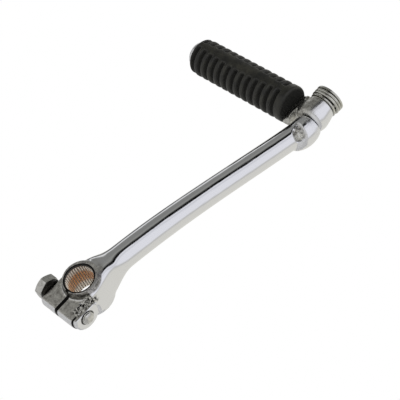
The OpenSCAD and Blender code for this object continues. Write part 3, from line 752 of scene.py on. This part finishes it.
pinLow, ringHigh = arm["joint"] - seat["deep"], ringLow + stack["ringThick"]
pinHigh = ringHigh + stack["pinTip"]
bm = bmesh.new()
addTurned(bm, [(pinLow + along, radius) for along, radius in stack["pinFoot"]]
          + [(ringLow, stack["pin"]), (ringLow, stack["ringGroove"]), (ringHigh, stack["ringGroove"]),
             (ringHigh, stack["pin"])]
          + [(pinHigh + along, radius) for along, radius in stack["pinTop"]], (0, -arm["reach"], 0), up)
finishPiece(newObject("pivotPin", bm), steel["oilyTurnedSteel"], "lever", "pivot_pin")

stopAngle, bevel = radians(stop["angle"]), stop["bevel"]
bm = bmesh.new()
addTurned(bm, [(-stop["seat"], 0), (-stop["seat"], stop["pin"] - bevel), (-stop["seat"] + bevel, stop["pin"]),
               (stop["high"] - bevel, stop["pin"]), (stop["high"], stop["pin"] - bevel), (stop["high"], 0)],
          (stop["radius"] * cos(stopAngle), -arm["reach"] + stop["radius"] * sin(stopAngle), arm["joint"]), up, 32)
finishPiece(newObject("stopPin", bm), steel["oilyTurnedSteel"], "lever", "stop_pin")

# studio: a white table on the outer side, a grey room, a softbox and the dark gap beside it; the pairs
# are heights and sideways places, 0 to 1, where something starts and where it is full
studio = {
    "wallLow": (0.66, 0.6), "wallFar": (0.62, 0.7), "overTable": (0.465, 0.54), "seamNear": (0.46, 0.40),
    "tableNormal": (0, 0.963, 0.269), "table": "#e5e3dc", "tableEdge": "#707070", "tableSeam": "#b9b9bb",
    "softbox": "#f4f4fa", "softboxBand": "#dcdce2", "gap": "#0d0d0d", "dusk": "#5c5c5b", "room": "#9b9b97",
    "roomFar": "#8a8a88", "wall": "#efefef", "paper": "#f2f2f2", "floorZ": -0.16, "floorHalf": 6,
    "keyPower": 3.4, "keySize": 0.7, "keyPlace": (-0.55, 0.5, 0.95), "keyAim": (0.03, -0.03, 0.1),
}
world = bpy.data.worlds.new("studio")
scene.world = world
world.use_nodes = True
tree = world.node_tree
tree.nodes.clear()
# height above the table and sideways along the lever, both from 0 to 1
direction = addNode(tree, "TexCoord", output="Generated")
height = addNode(tree, "VectorMath", (direction, studio["tableNormal"]), "Value", operation="DOT_PRODUCT")
height = addNode(tree, "MapRange", (height, -1, 1))
sideways = addNode(tree, "SeparateXYZ", (direction,), "X")
sideways = addNode(tree, "MapRange", (sideways, -1, 1))
room = addNode(tree, "ValToRGB", (sideways,), stops=[
    (0.0, studio["softbox"]), (0.26, studio["softbox"]), (0.34, studio["softboxBand"]), (0.41, studio["softbox"]),
    (0.432, studio["softbox"]), (0.45, studio["gap"]), (0.55, studio["gap"]), (0.59, studio["dusk"]),
    (0.65, studio["room"]), (0.75, studio["roomFar"])])
table = addNode(tree, "ValToRGB", (sideways,), stops=[
    (0.0, studio["table"]), (0.83, studio["table"]), (0.91, studio["tableEdge"])])
# a bright wall stands low at the far end of the room
lowDown = addNode(tree, "MapRange", (height, *studio["wallLow"]))
farEnd = addNode(tree, "MapRange", (sideways, *studio["wallFar"]))
wall = addNode(tree, "Math", (lowDown, farEnd), operation="MULTIPLY")
room = addNode(tree, "Mix", {0: wall, 6: room, 7: studio["wall"]}, 2, data_type="RGBA")
aboveTable = addNode(tree, "MapRange", (height, *studio["overTable"]))
surround = addNode(tree, "Mix", {0: aboveTable, 6: table, 7: room}, 2, data_type="RGBA")
# a faint grey seam where the softbox meets the table
seam = addNode(tree, "ValToRGB", (height,), stops=[(0.36, 0.0), (0.46, 0.6), (0.57, 0.0)])
seamNear = addNode(tree, "MapRange", (sideways, *studio["seamNear"]))
seam = addNode(tree, "Math", (seam, seamNear), operation="MULTIPLY")
surround = addNode(tree, "Mix", {0: seam, 6: surround, 7: studio["tableSeam"]}, 2, data_type="RGBA")
glow = addNode(tree, "Background", {"Color": surround, "Strength": 1})
white = addNode(tree, "Background", {"Color": (1, 1, 1, 1), "Strength": 1})
seen = addNode(tree, "LightPath", output="Is Camera Ray")
addNode(tree, "OutputWorld", {"Surface": addNode(tree, "MixShader", (seen, glow, white))})

keyData = bpy.data.lights.new("softKey", "AREA")
keyData.energy = studio["keyPower"]
keyData.size = studio["keySize"]
key = bpy.data.objects.new("softKey", keyData)
scene.collection.objects.link(key)
key.location = studio["keyPlace"]
key.visible_glossy = False
key.rotation_mode = "QUATERNION"
key.rotation_quaternion = (key.location - Vector(studio["keyAim"])).to_track_quat("Z", "Y")

bm = bmesh.new()
bmesh.ops.create_grid(bm, x_segments=1, y_segments=1, size=studio["floorHalf"])
bmesh.ops.translate(bm, vec=(0, 0, studio["floorZ"]), verts=bm.verts)
floor = newObject("paleFloor", bm)
# matt white card: plain, with a soft shadow
paper, tree = newMaterial("whitePaper")
shader = addNode(tree, "BsdfPrincipled", {"Base Color": studio["paper"], "Roughness": 0.8})
addNode(tree, "OutputMaterial", {"Surface": shader})
floor.data.materials.append(paper)
print("studio set")
